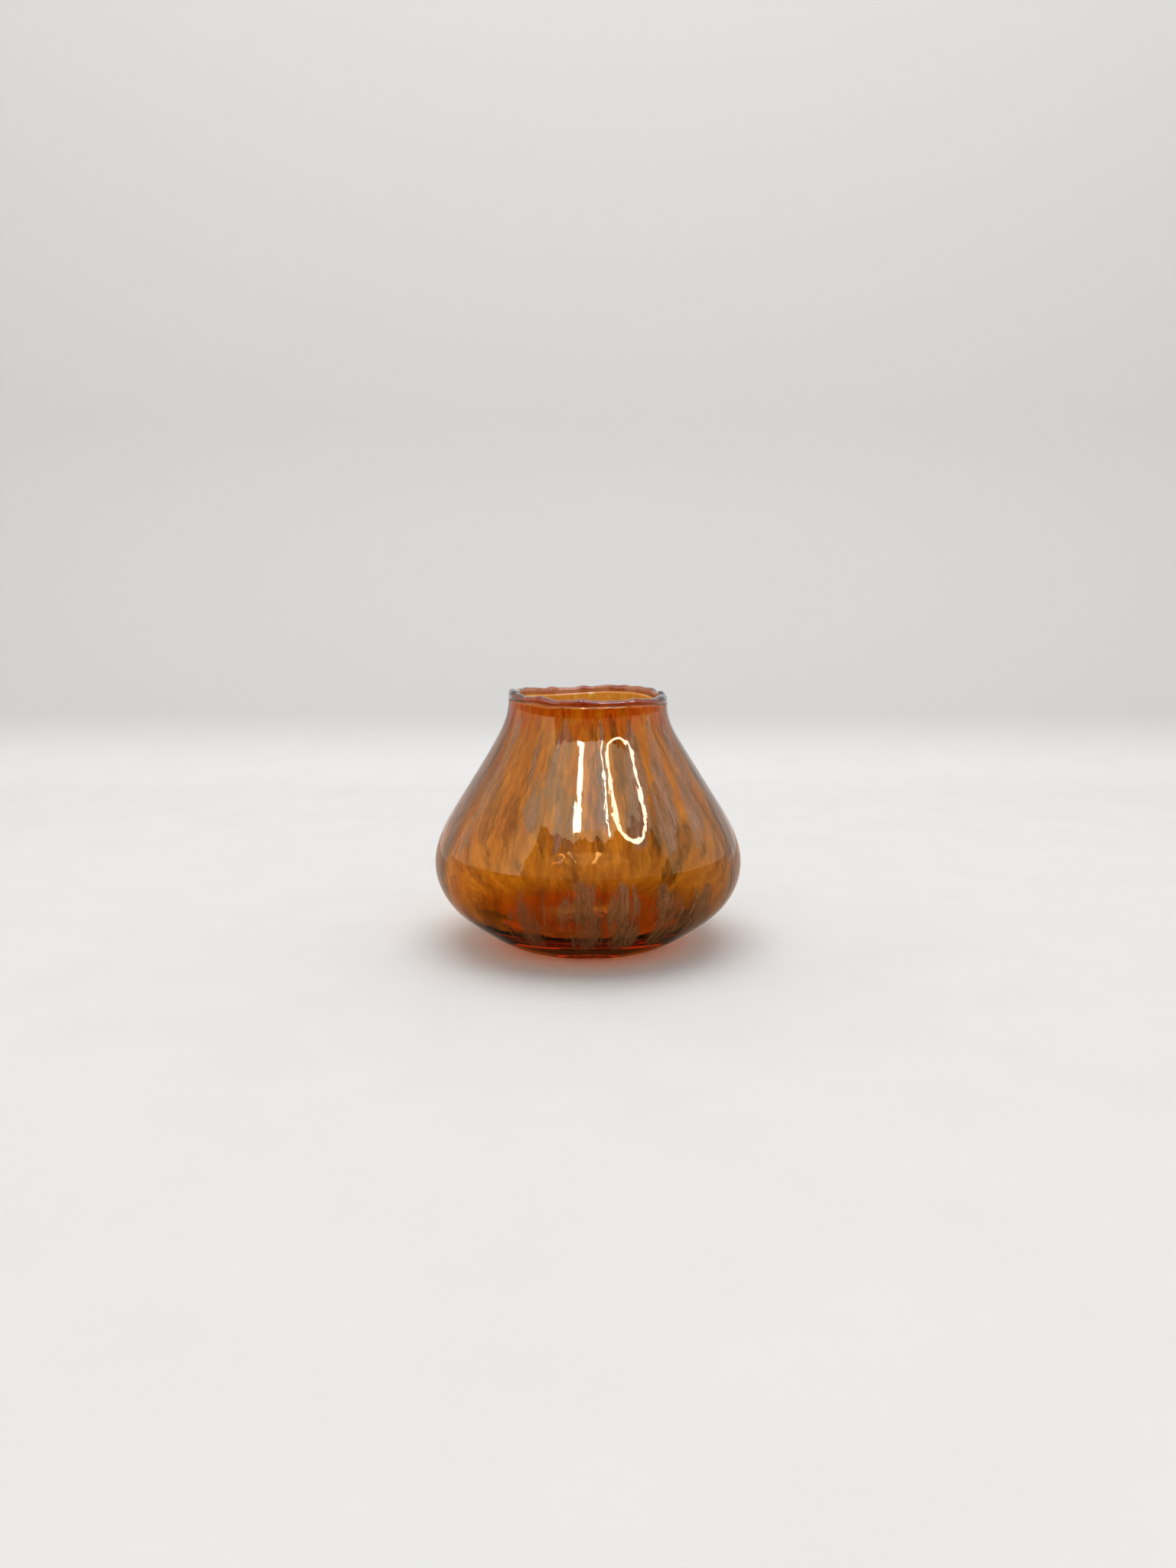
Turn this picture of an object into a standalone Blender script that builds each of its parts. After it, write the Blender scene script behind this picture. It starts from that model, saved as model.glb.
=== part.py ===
"""Hand-blown cased glass bud vase, about 100 mm across and 82 mm tall.

The wall is built the way the glass is gathered: an amber gather on the inside,
grey-brown streaks of colour laid on it, and a clear casing over both.  A
fire-polished lip closes the top edge, and the pontil seal sits under the foot.
Origin: centre of the foot, on the surface that the vase stands on.  +Z is up.
"""
import math
import random

import bmesh
import bpy

# ---- driving dimensions, in metres ----
LIP_TOP = 0.0820            # mean height of the lip above the table
FOOT_RADIUS = 0.0190        # outer edge of the flat that touches the table
GAP = 0.0003                # clearance between neighbouring solids

# Control polygon (radius, height) of the outer face, from foot to lip.  The face
# is the clamped cubic B-spline that this polygon draws.
OUTER_POLYGON = (
    (FOOT_RADIUS, 0.0),
    (0.0263, 0.0),
    (0.0341, 0.0049),
    (0.0468, 0.0139),
    (0.0515, 0.0270),
    (0.0472, 0.0393),
    (0.0386, 0.0524),
    (0.0304, 0.0655),
    (0.0249, 0.0753),
    (0.0259, 0.0820),
)

# ---- layers of the wall, measured inwards from the outer face ----
CASING_WALL = 0.0008
STREAK_WALL = 0.0003
GATHER_WALL = 0.0010
CASING_FLOOR = 0.0022       # top of the casing's bottom
GATHER_UNDERSIDE = CASING_FLOOR + GAP
GATHER_FLOOR = 0.0070       # top of the thick base, inside the vase
BOWL_EDGE = 0.0145          # height where the inside leaves the wall and rounds into the base
BOWL_REACH = 0.0100         # how far the rounding keeps to the wall's slope
BOWL_FLAT = 0.0200          # how far from the axis the base is about flat
BOWL_STEPS = 9

STREAK_OUTER = CASING_WALL + GAP
STREAK_INNER = STREAK_OUTER + STREAK_WALL
GATHER_OUTER = STREAK_INNER + GAP
GATHER_INNER = GATHER_OUTER + GATHER_WALL

# ---- lip ----
LIP_HEIGHT = 0.0020
WALL_TOP = LIP_TOP - LIP_HEIGHT - GAP
LIP_OVERHANG = 0.0001       # how far the lip stands proud of the wall on each side
LIP_SECTION_POINTS = 8
LIP_WAVE_START = 0.0600     # height where the lip's waviness begins to fade in
# The lip's waviness as (lobes round the mouth, height, angle of a crest in degrees).
LIP_WAVES = ((1, 0.0004, 150.0), (2, 0.0003, 30.0), (3, 0.0004, 60.0))

# ---- pontil ----
DIMPLE_RADIUS = 0.0090
DIMPLE_DEPTH = 0.0012
DIMPLE_FLAT = 0.8           # flat part of the dimple, as a share of its radius
SEAL_RADIUS = 0.0074
SEAL_BOTTOM = 0.0004
SEAL_EDGE = 0.0002          # rounding of the seal's lower edge
SEAL_FACE_RADIUS = SEAL_RADIUS - 3 * SEAL_EDGE
SEAL_TOP_RADIUS = SEAL_RADIUS - 4 * SEAL_EDGE

# ---- streaks ----
STREAK_STATIONS = 19
STREAK_ACROSS = 3
STREAK_TIP = 0.14           # width of a streak's tip, as a share of its full width
STREAK_FULLNESS = 0.5       # under 1, the width swells quickly behind the tip

# The streaks drawn out on the front.  Each is (direction of its lower end, direction of
# its upper end, height of its lower end in mm, height of its upper end in mm, half its
# width), with directions and widths in degrees, counted from -Y towards +X.
FRONT_STREAKS = (
    (-70.0, -72.0, 9.0, 77.8, 6.8),
    (-55.0, -56.0, 31.0, 78.2, 5.6),
    (-21.5, -36.0, 40.0, 77.8, 4.0),
    (-8.5, -16.5, 33.5, 78.2, 6.2),
    (7.0, 8.5, 44.0, 78.0, 2.8),
    (18.5, 31.0, 38.0, 78.2, 6.2),
    (30.0, 47.5, 35.0, 78.0, 6.0),
    (46.0, 66.5, 36.0, 77.6, 5.8),
    (67.0, 84.5, 10.0, 77.8, 6.4),
    (-27.5, -18.5, 4.6, 31.5, 7.4),
    (-1.5, -2.0, 4.4, 34.0, 6.6),
    (14.5, 12.0, 4.8, 32.5, 5.6),
    (35.0, 27.0, 5.2, 31.0, 6.4),
    (51.0, 44.0, 6.4, 29.0, 6.2),
)

# The streaks of the back stand in an even ring, each moved a little by chance.
BACK_STREAKS = 14
BACK_START = 94.0           # direction of the ring's first place, in degrees
BACK_PITCH = 13.6           # from one place to the next, in degrees
BACK_SEED = 11
BACK_DRIFT = 0.08           # largest move out of place, as a share of the pitch
BACK_HALF_WIDTH = (0.24, 0.36)
BACK_LOW = (9.0, 19.0)      # heights in mm between which a long streak's lower end lies
BACK_HIGH = (70.0, 77.5)
SHORT_EVERY = 4             # every fourth one is short and climbs from the base
SHORT_LOW = 4.6
SHORT_HIGH = (38.0, 56.0)

# ---- smoothness ----
AROUND = 48                 # facets round the vase
ALONG = 22                  # facets from foot to lip
SLOPE_STEP = 1e-4           # step of u over which the face's slope is taken
HALVINGS = 40               # halvings when a height is searched for

AMBER = (0.42, 0.13, 0.010)
SMOKE = (0.24, 0.14, 0.085)
CLEAR = (0.90, 0.82, 0.74)


def clear_scene():
    """Remove every object of the open scene."""
    for item in list(bpy.data.objects):
        bpy.data.objects.remove(item, do_unlink=True)


def glass(name, colour, roughness):
    """Return a new Principled material for one piece."""
    material = bpy.data.materials.new(name)
    material.use_nodes = True
    shader = material.node_tree.nodes["Principled BSDF"]
    shader.inputs["Base Color"].default_value = (*colour, 1.0)
    shader.inputs["Roughness"].default_value = roughness
    shader.inputs["Metallic"].default_value = 0.0
    shader.inputs["IOR"].default_value = 1.5
    return material


# ---- the outline of the outer face ----

def knot(index, count):
    """Return one knot of the clamped cubic B-spline with count control points."""
    spans = count - 3
    return min(max(index - 3, 0), spans) / spans


def face_point(u):
    """Return (radius, height) on the outer face at u, from 0 at the foot to 1 at the lip."""
    count = len(OUTER_POLYGON)
    span = min(3 + int(u * (count - 3)), count - 1)
    points = [OUTER_POLYGON[span - 3 + i] for i in range(4)]
    for level in range(1, 4):
        for i in range(3, level - 1, -1):
            low = knot(span - 3 + i, count)
            high = knot(span + 1 + i - level, count)
            share = (u - low) / (high - low)
            points[i] = tuple(
                (1 - share) * a + share * b for a, b in zip(points[i - 1], points[i])
            )
    return points[3]


def offset_point(u, depth):
    """Return (radius, height) at u, moved inwards by depth along the face's normal."""
    r0, z0 = face_point(max(u - SLOPE_STEP, 0.0))
    r1, z1 = face_point(min(u + SLOPE_STEP, 1.0))
    length = math.hypot(r1 - r0, z1 - z0)
    r, z = face_point(u)
    return r - depth * (z1 - z0) / length, z + depth * (r1 - r0) / length


def u_at_height(height, depth):
    """Return the u where the face offset by depth reaches the given height."""
    low, high = 0.0, 1.0
    for _ in range(HALVINGS):
        middle = (low + high) / 2
        if offset_point(middle, depth)[1] < height:
            low = middle
        else:
            high = middle
    return (low + high) / 2


def wall_outline(depth, bottom, steps=ALONG):
    """Return the points of the face offset by depth, between bottom and the wall's top."""
    start = u_at_height(bottom, depth) if bottom > 0 else 0.0
    end = u_at_height(WALL_TOP, depth)
    return [offset_point(start + (end - start) * i / steps, depth) for i in range(steps + 1)]


# ---- the lip's waviness ----

def lip_wave(angle):
    """Return how far the lip rises above its mean height at an angle."""
    return sum(
        height * math.cos(lobes * (angle - math.radians(crest)))
        for lobes, height, crest in LIP_WAVES
    )


def wave_share(height):
    """Return how much of the lip's wave reaches a height, from 0 to 1."""
    share = min(max((height - LIP_WAVE_START) / (WALL_TOP - LIP_WAVE_START), 0.0), 1.0)
    return share * share * (3 - 2 * share)


def place(radius, height, angle):
    """Return the point at a radius, height and angle, with the lip's wave added."""
    lifted = height + wave_share(height) * lip_wave(angle)
    return radius * math.cos(angle), radius * math.sin(angle), lifted


# ---- solids ----

def add_object(name, mesh_builder, material):
    """Make one object out of a bmesh, shaded smooth, and link it to the scene."""
    mesh = bpy.data.meshes.new(name)
    bmesh.ops.recalc_face_normals(mesh_builder, faces=mesh_builder.faces)
    mesh_builder.to_mesh(mesh)
    mesh_builder.free()
    mesh.shade_smooth()
    mesh.set_sharp_from_angle(angle=math.radians(40))
    mesh.materials.append(material)
    item = bpy.data.objects.new(name, mesh)
    bpy.context.scene.collection.objects.link(item)
    return item


def turned_solid(name, outline, material, closed=False):
    """Turn an outline round Z.  An open outline starts and ends on the axis."""
    bm = bmesh.new()
    rings = []
    for radius, height in outline:
        if radius == 0.0:
            rings.append([bm.verts.new((0.0, 0.0, height))])
            continue
        ring = [
            bm.verts.new(place(radius, height, 2 * math.pi * i / AROUND))
            for i in range(AROUND)
        ]
        rings.append(ring)
    pairs = list(zip(rings, rings[1:]))
    if closed:
        pairs.append((rings[-1], rings[0]))
    for lower, upper in pairs:
        for i in range(AROUND):
            j = (i + 1) % AROUND
            if len(lower) == 1:
                bm.faces.new((lower[0], upper[i], upper[j]))
            elif len(upper) == 1:
                bm.faces.new((lower[i], upper[0], lower[j]))
            else:
                bm.faces.new((lower[i], upper[i], upper[j], lower[j]))
    return add_object(name, bm, material)


def clear_casing():
    """Build the clear outer jacket, with the pontil dimple under its foot."""
    outer = wall_outline(0.0, 0.0)
    inner = wall_outline(CASING_WALL, CASING_FLOOR)
    dimple = [(0.0, DIMPLE_DEPTH), (DIMPLE_RADIUS * DIMPLE_FLAT, DIMPLE_DEPTH), (DIMPLE_RADIUS, 0.0)]
    outline = dimple + outer + inner[::-1] + [(0.0, CASING_FLOOR)]
    return turned_solid("clear_casing", outline, glass("clear_casing", CLEAR, 0.02))


def bowl_outline(edge, above):
    """Return the rounded bottom of the inside, from just below the edge to the axis.

    edge is where it leaves the wall and above the wall's next point, for the slope.
    The curve is a cubic Bezier that ends level on the axis.
    """
    length = math.hypot(above[0] - edge[0], above[1] - edge[1])
    pull_radius = edge[0] - (above[0] - edge[0]) / length * BOWL_REACH
    pull_height = max(edge[1] - (above[1] - edge[1]) / length * BOWL_REACH, GATHER_FLOOR)
    outline = []
    for i in range(1, BOWL_STEPS):
        t = i / BOWL_STEPS
        first, second, third = (1 - t) ** 3, 3 * t * (1 - t) ** 2, 3 * t * t * (1 - t)
        radius = first * edge[0] + second * pull_radius + third * BOWL_FLAT
        height = first * edge[1] + second * pull_height + (third + t ** 3) * GATHER_FLOOR
        outline.append((radius, height))
    return outline + [(0.0, GATHER_FLOOR)]


def amber_gather():
    """Build the amber vessel inside the casing, with its thick, bowl-shaped base."""
    outer = wall_outline(GATHER_OUTER, GATHER_UNDERSIDE)
    inner = wall_outline(GATHER_INNER, BOWL_EDGE)
    bowl = bowl_outline(inner[0], inner[1])
    outline = [(0.0, GATHER_UNDERSIDE)] + outer + inner[::-1] + bowl
    return turned_solid("amber_gather", outline, glass("amber_gather", AMBER, 0.03))


def fire_polished_lip():
    """Build the rounded bead that closes the top edge of both layers."""
    outer = offset_point(u_at_height(WALL_TOP, 0.0), 0.0)[0] + LIP_OVERHANG
    inner = offset_point(u_at_height(WALL_TOP, GATHER_INNER), GATHER_INNER)[0] - LIP_OVERHANG
    centre = (outer + inner) / 2
    half_width = (outer - inner) / 2
    half_height = LIP_HEIGHT / 2
    outline = []
    for i in range(LIP_SECTION_POINTS):
        turn = 2 * math.pi * i / LIP_SECTION_POINTS
        height = LIP_TOP - half_height + half_height * math.sin(turn)
        outline.append((centre + half_width * math.cos(turn), height))
    return turned_solid(
        "fire_polished_lip", outline, glass("fire_polished_lip", CLEAR, 0.02), closed=True
    )


def pontil_seal():
    """Build the low glass button left in the dimple by the pontil rod."""
    top = DIMPLE_DEPTH - GAP
    outline = [
        (0.0, SEAL_BOTTOM),
        (SEAL_FACE_RADIUS, SEAL_BOTTOM),
        (SEAL_RADIUS - SEAL_EDGE, SEAL_BOTTOM + SEAL_EDGE),
        (SEAL_TOP_RADIUS, top),
        (0.0, top),
    ]
    return turned_solid("pontil_seal", outline, glass("pontil_seal", CLEAR, 0.12))


def colour_streak(number, low_angle, high_angle, low, high, half_angle):
    """Build one drawn-out streak of colour, lying between gather and casing.

    low_angle and high_angle are the directions of its ends in degrees from -Y towards
    +X, low and high their heights in millimetres, and half_angle half its width in
    degrees.
    """
    bottom = u_at_height(low / 1000, STREAK_OUTER)
    top = u_at_height(high / 1000, STREAK_OUTER)
    bm = bmesh.new()
    faces = {STREAK_OUTER: [], STREAK_INNER: []}
    for station in range(STREAK_STATIONS):
        share = station / (STREAK_STATIONS - 1)
        u = bottom + (top - bottom) * share
        fullness = math.sin(math.pi * share) ** STREAK_FULLNESS if 0 < share < 1 else 0.0
        half = math.radians(half_angle) * (STREAK_TIP + (1 - STREAK_TIP) * fullness)
        centre = math.radians(low_angle + (high_angle - low_angle) * share - 90)
        for depth, rows in faces.items():
            radius, height = offset_point(u, depth)
            row = []
            for i in range(STREAK_ACROSS):
                side = 2 * i / (STREAK_ACROSS - 1) - 1
                row.append(bm.verts.new(place(radius, height, centre + side * half)))
            rows.append(row)
    outer, inner = faces[STREAK_OUTER], faces[STREAK_INNER]
    for rows in (outer, inner):
        for lower, upper in zip(rows, rows[1:]):
            for i in range(STREAK_ACROSS - 1):
                bm.faces.new((lower[i], lower[i + 1], upper[i + 1], upper[i]))
    for a in range(STREAK_STATIONS - 1):
        for side in (0, -1):
            bm.faces.new((outer[a][side], outer[a + 1][side], inner[a + 1][side], inner[a][side]))
    for end in (0, -1):
        for i in range(STREAK_ACROSS - 1):
            bm.faces.new((outer[end][i], outer[end][i + 1], inner[end][i + 1], inner[end][i]))
    name = f"smoke_streak_{number:02d}"
    add_object(name, bm, glass(name, SMOKE, 0.15))


def colour_streaks():
    """Build the front's streaks, then the ring of streaks round the back."""
    for number, streak in enumerate(FRONT_STREAKS, start=1):
        colour_streak(number, *streak)
    chance = random.Random(BACK_SEED)
    for i in range(BACK_STREAKS):
        angle = BACK_START + BACK_PITCH * (i + chance.uniform(-BACK_DRIFT, BACK_DRIFT))
        end_angle = angle + BACK_PITCH * chance.uniform(-BACK_DRIFT, BACK_DRIFT)
        half_angle = BACK_PITCH * chance.uniform(*BACK_HALF_WIDTH)
        low, high = chance.uniform(*BACK_LOW), chance.uniform(*BACK_HIGH)
        if i % SHORT_EVERY == SHORT_EVERY - 1:
            low, high = SHORT_LOW, chance.uniform(*SHORT_HIGH)
        colour_streak(len(FRONT_STREAKS) + 1 + i, angle, end_angle, low, high, half_angle)


def build():
    """Build every piece of the vase."""
    clear_scene()
    clear_casing()
    amber_gather()
    colour_streaks()
    fire_polished_lip()
    pontil_seal()


build()
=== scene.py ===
"""Looks of the hand-blown glass bud vase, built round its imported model.

The wall is one fused thickness of glass in which the layers keep their own
pieces: the casing carries the outer skin, the amber gather carries the inner
skin and the colour, and the smoke streaks lie between the two.  The faces where
two layers are fused are invisible seams, so light bends only where glass meets
air.  Everything is in metres, +Z up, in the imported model's own frame.
"""
import logging
import math
from dataclasses import dataclass
from enum import Enum
from typing import Iterable, Sequence, Union

import bpy
import numpy as np
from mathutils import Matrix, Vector, noise


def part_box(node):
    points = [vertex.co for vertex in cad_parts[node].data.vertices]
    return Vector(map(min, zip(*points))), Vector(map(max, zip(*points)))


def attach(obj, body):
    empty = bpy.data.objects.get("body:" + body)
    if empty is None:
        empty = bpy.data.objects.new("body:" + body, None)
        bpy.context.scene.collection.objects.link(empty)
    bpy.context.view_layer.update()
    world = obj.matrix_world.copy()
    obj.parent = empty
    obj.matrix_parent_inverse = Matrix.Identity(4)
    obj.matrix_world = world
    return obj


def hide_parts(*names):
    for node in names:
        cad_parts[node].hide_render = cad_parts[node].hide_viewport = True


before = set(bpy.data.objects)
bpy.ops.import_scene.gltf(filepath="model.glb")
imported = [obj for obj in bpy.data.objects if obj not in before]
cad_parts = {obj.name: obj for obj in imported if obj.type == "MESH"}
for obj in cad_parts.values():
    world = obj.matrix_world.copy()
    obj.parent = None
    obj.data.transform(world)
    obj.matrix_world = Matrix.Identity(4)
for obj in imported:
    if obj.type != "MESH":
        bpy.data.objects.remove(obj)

log = logging.getLogger("bud_vase")

BODY = "root"
RIPPLE_START = 0.002
RIPPLE_FULL = 0.008
HALVINGS = 40
SLOPE_STEP = 1e-4
Colour = tuple[float, float, float]
Point = tuple[float, float, float]


# ---------------------------------------------------------------- node maths


class Value:
    """A number socket of a node tree; Python operators on it add Math nodes."""

    def __init__(self, shop: "NodeShop", socket: bpy.types.NodeSocket) -> None:
        """Remember the tree's shop and the wrapped output socket."""
        self.shop = shop
        self.socket = socket

    def _math(self, operation: str, *inputs: Union["Value", float]) -> "Value":
        """Add one Math node.

        Args:
            operation: Blender's name of the operation.
            inputs: what feeds the node's sockets, in order.

        Returns:
            The node's result.
        """
        node = self.shop.node("ShaderNodeMath", {"operation": operation}, dict(enumerate(inputs)))
        return Value(self.shop, node.outputs[0])

    def __add__(self, other: Union["Value", float]) -> "Value":
        """Return self + other."""
        return self._math("ADD", self, other)

    def __radd__(self, other: float) -> "Value":
        """Return other + self."""
        return self._math("ADD", other, self)

    def __sub__(self, other: Union["Value", float]) -> "Value":
        """Return self - other."""
        return self._math("SUBTRACT", self, other)

    def __rsub__(self, other: float) -> "Value":
        """Return other - self."""
        return self._math("SUBTRACT", other, self)

    def __mul__(self, other: Union["Value", float]) -> "Value":
        """Return self * other."""
        return self._math("MULTIPLY", self, other)

    def __truediv__(self, other: Union["Value", float]) -> "Value":
        """Return self / other."""
        return self._math("DIVIDE", self, other)

    def __pow__(self, power: float) -> "Value":
        """Return self ** power."""
        return self._math("POWER", self, power)

    def smaller(self, other: Union["Value", float]) -> "Value":
        """Return the smaller of the two numbers."""
        return self._math("MINIMUM", self, other)

    def size(self) -> "Value":
        """Return the number without its sign."""
        return self._math("ABSOLUTE", self)

    def turn_from(self, across: "Value") -> "Value":
        """Return the angle of the point (across, self), from -pi to pi."""
        return self._math("ARCTAN2", self, across)

    def ramp(self, low: float, high: float) -> "Value":
        """Return a soft step.

        Args:
            low: the number that gives 0; it may be the larger of the two.
            high: the number that gives 1.

        Returns:
            The step, from 0 to 1.
        """
        inputs = {"Value": self, "From Min": low, "From Max": high}
        node = self.shop.node("ShaderNodeMapRange", {"interpolation_type": "SMOOTHSTEP"}, inputs)
        return Value(self.shop, node.outputs["Result"])


Input = Union[Value, bpy.types.NodeSocket, float, Sequence[float]]


class NodeShop:
    """Makes the nodes of one material."""

    def __init__(self, name: str) -> None:
        """Start a material with an empty node tree.

        Args:
            name: the material's name.
        """
        self.material = bpy.data.materials.new(name)
        self.material.use_nodes = True
        self.tree = self.material.node_tree
        self.tree.nodes.clear()

    def node(
        self,
        kind: str,
        settings: Union[dict[str, object], None] = None,
        inputs: Union[dict[Union[str, int], Input], None] = None,
    ) -> bpy.types.Node:
        """Add a node of any kind.

        Args:
            kind: Blender's node type.
            settings: the node's properties, which are set first.
            inputs: values or links of its sockets, by name or index.

        Returns:
            The new node.
        """
        made = self.tree.nodes.new(kind)
        for name, value in (settings or {}).items():
            setattr(made, name, value)
        for name, value in (inputs or {}).items():
            self.feed(made.inputs[name], value)
        return made

    def feed(self, socket: bpy.types.NodeSocket, value: Input) -> None:
        """Link or set one input socket.

        Args:
            socket: the input.
            value: another node's result, or a constant.
        """
        if isinstance(value, Value):
            value = value.socket
        if isinstance(value, bpy.types.NodeSocket):
            self.tree.links.new(value, socket)
        elif socket.type == "RGBA":
            socket.default_value = (*value, 1.0)
        else:
            socket.default_value = value

    def number(self, socket: bpy.types.NodeSocket) -> Value:
        """Wrap an output socket so that Python's operators work on it."""
        return Value(self, socket)

    def position(self) -> tuple[bpy.types.NodeSocket, Value, Value, Value]:
        """Look up the surface point.

        Returns:
            The point in the vase's frame, as a vector and as x, y and z.
        """
        place = self.node("ShaderNodeTexCoord").outputs["Object"]
        parts = self.node("ShaderNodeSeparateXYZ", inputs={0: place}).outputs
        return place, self.number(parts[0]), self.number(parts[1]), self.number(parts[2])

    def vector(self, x: Input, y: Input, z: Input) -> bpy.types.NodeSocket:
        """Join three numbers into a vector."""
        return self.node("ShaderNodeCombineXYZ", inputs={0: x, 1: y, 2: z}).outputs[0]

    def pulled(self, x: Value, y: Value, z: Value, squeeze: float) -> bpy.types.NodeSocket:
        """Lay a pattern round the vase so that it is drawn out upright.

        Args:
            x: the surface point's x.
            y: its y.
            z: its height.
            squeeze: how fast the pattern changes with height; less draws it out more.

        Returns:
            The point to look the pattern up at.
        """
        radius = (x * x + y * y) ** 0.5
        return self.vector(x / radius, y / radius, z * squeeze)

    def noise(self, place: Input, scale: float, detail: float = 3.0, rough: float = 0.5) -> Value:
        """Return a noise pattern from 0 to 1.

        Args:
            place: the point to look the noise up at.
            scale: how many lumps there are in one unit of place.
            detail: how many finer octaves are added.
            rough: how strong those octaves are.

        Returns:
            The noise's height.
        """
        inputs = {"Vector": place, "Scale": scale, "Detail": detail, "Roughness": rough}
        return self.number(self.node("ShaderNodeTexNoise", inputs=inputs).outputs[0])

    def blend(self, share: Input, first: Input, second: Input) -> bpy.types.NodeSocket:
        """Mix two colours.

        Args:
            share: how much of the second colour shows, from 0 to 1.
            first: the colour at 0.
            second: the colour at 1.

        Returns:
            The mixed colour.
        """
        settings = {"data_type": "RGBA", "clamp_factor": True}
        node = self.node("ShaderNodeMix", settings, {0: share, 6: first, 7: second})
        return node.outputs[2]

    def bump(self, height: Input, reach: float, strength: float = 1.0) -> bpy.types.NodeSocket:
        """Return a normal bent by a height pattern.

        Args:
            height: the pattern, from 0 to 1.
            reach: the height in metres that 1 stands for.
            strength: how much of the bump shows.

        Returns:
            The bent normal.
        """
        inputs = {"Strength": strength, "Distance": reach, "Height": height}
        return self.node("ShaderNodeBump", inputs=inputs).outputs[0]

    def principled(self, **inputs: Input) -> bpy.types.Material:
        """End the material in one Principled shader.

        Args:
            inputs: its sockets by name, with _ for a space.

        Returns:
            The finished material.
        """
        named = {name.replace("_", " "): value for name, value in inputs.items()}
        return self.end(self.node("ShaderNodeBsdfPrincipled", inputs=named))

    def emission(self, colour: Input, strength: float) -> bpy.types.Material:
        """End the material in a shader that only glows.

        Args:
            colour: the light's colour.
            strength: its brightness.

        Returns:
            The finished material.
        """
        inputs = {"Color": colour, "Strength": strength}
        return self.end(self.node("ShaderNodeEmission", inputs=inputs))

    def end(self, shader: bpy.types.Node) -> bpy.types.Material:
        """Link the last shader to the output and return the material."""
        self.node("ShaderNodeOutputMaterial", inputs={"Surface": shader.outputs[0]})
        return self.material


# ---------------------------------------------------------------- the outline


def ease(value: float, low: float, high: float) -> float:
    """Return a soft step of value, from 0 at low to 1 at high."""
    share = min(max((value - low) / (high - low), 0.0), 1.0)
    return share * share * (3 - 2 * share)


@dataclass(frozen=True)
class Outline:
    """The turned outline of the vase's outer face.

    Attributes:
        polygon: (radius, height) control points of a clamped cubic B-spline.
        lip_top: mean height of the lip.
        lip_waves: waviness of the lip as (lobes, height, angle of a crest in degrees).
        wave_start: height where the lip's waviness begins.
    """

    polygon: tuple[tuple[float, float], ...] = (
        (0.0190, 0.0),
        (0.0263, 0.0),
        (0.0341, 0.0049),
        (0.0468, 0.0139),
        (0.0515, 0.0270),
        (0.0472, 0.0393),
        (0.0386, 0.0524),
        (0.0304, 0.0655),
        (0.0249, 0.0753),
        (0.0259, 0.0820),
    )
    lip_top: float = 0.0820
    lip_waves: tuple[tuple[int, float, float], ...] = (
        (1, 0.0004, 150.0),
        (2, 0.0003, 30.0),
        (3, 0.0004, 60.0),
    )
    wave_start: float = 0.0600

    def _knot(self, index: int) -> float:
        """Return one knot of the clamped spline."""
        spans = len(self.polygon) - 3
        return min(max(index - 3, 0), spans) / spans

    def point(self, u: float) -> tuple[float, float]:
        """Find a point of the spline by de Boor's rule.

        Args:
            u: the place along it, from 0 at the foot to 1 at the lip.

        Returns:
            The point's (radius, height).
        """
        count = len(self.polygon)
        span = min(3 + int(u * (count - 3)), count - 1)
        points = [self.polygon[span - 3 + i] for i in range(4)]
        for level in range(1, 4):
            for i in range(3, level - 1, -1):
                low = self._knot(span - 3 + i)
                share = (u - low) / (self._knot(span + 1 + i - level) - low)
                points[i] = tuple(
                    (1 - share) * a + share * b for a, b in zip(points[i - 1], points[i])
                )
        return points[3]

    def inside(self, u: float, depth: float) -> tuple[float, float]:
        """Find a point under the outer face.

        Args:
            u: the place along the outline.
            depth: how far inside the face the point lies, along its normal.

        Returns:
            The point's (radius, height).
        """
        r0, z0 = self.point(max(u - SLOPE_STEP, 0.0))
        r1, z1 = self.point(min(u + SLOPE_STEP, 1.0))
        length = math.hypot(r1 - r0, z1 - z0)
        r, z = self.point(u)
        return r - depth * (z1 - z0) / length, z + depth * (r1 - r0) / length

    def u_at(self, height: float, depth: float = 0.0) -> float:
        """Find the u where a face reaches a height.

        Args:
            height: the height.
            depth: how far inside the outer face that face lies.

        Returns:
            The place along the outline.
        """
        low, high = 0.0, 1.0
        for _ in range(HALVINGS):
            middle = (low + high) / 2
            if self.inside(middle, depth)[1] < height:
                low = middle
            else:
                high = middle
        return (low + high) / 2

    def run(self, depth: float, bottom: float, top: float, steps: int) -> list[tuple[float, float]]:
        """Return points of the face moved in by depth, between two heights.

        Args:
            depth: distance inside the outer face.
            bottom: height of the first point; 0 starts at the foot's edge.
            top: height of the last point.
            steps: how many stretches the run is cut into.

        Returns:
            (radius, height) points from bottom to top.
        """
        start = self.u_at(bottom, depth) if bottom > 0 else 0.0
        end = self.u_at(top, depth)
        return [self.inside(start + (end - start) * i / steps, depth) for i in range(steps + 1)]

    def wave(self, angle: float, height: float) -> float:
        """Return how far the lip's waviness lifts a point.

        Args:
            angle: direction of the point round the vase.
            height: its height before lifting.

        Returns:
            The lift.
        """
        lift = sum(h * math.cos(n * (angle - math.radians(c))) for n, h, c in self.lip_waves)
        return ease(height, self.wave_start, self.lip_top) * lift


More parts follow.
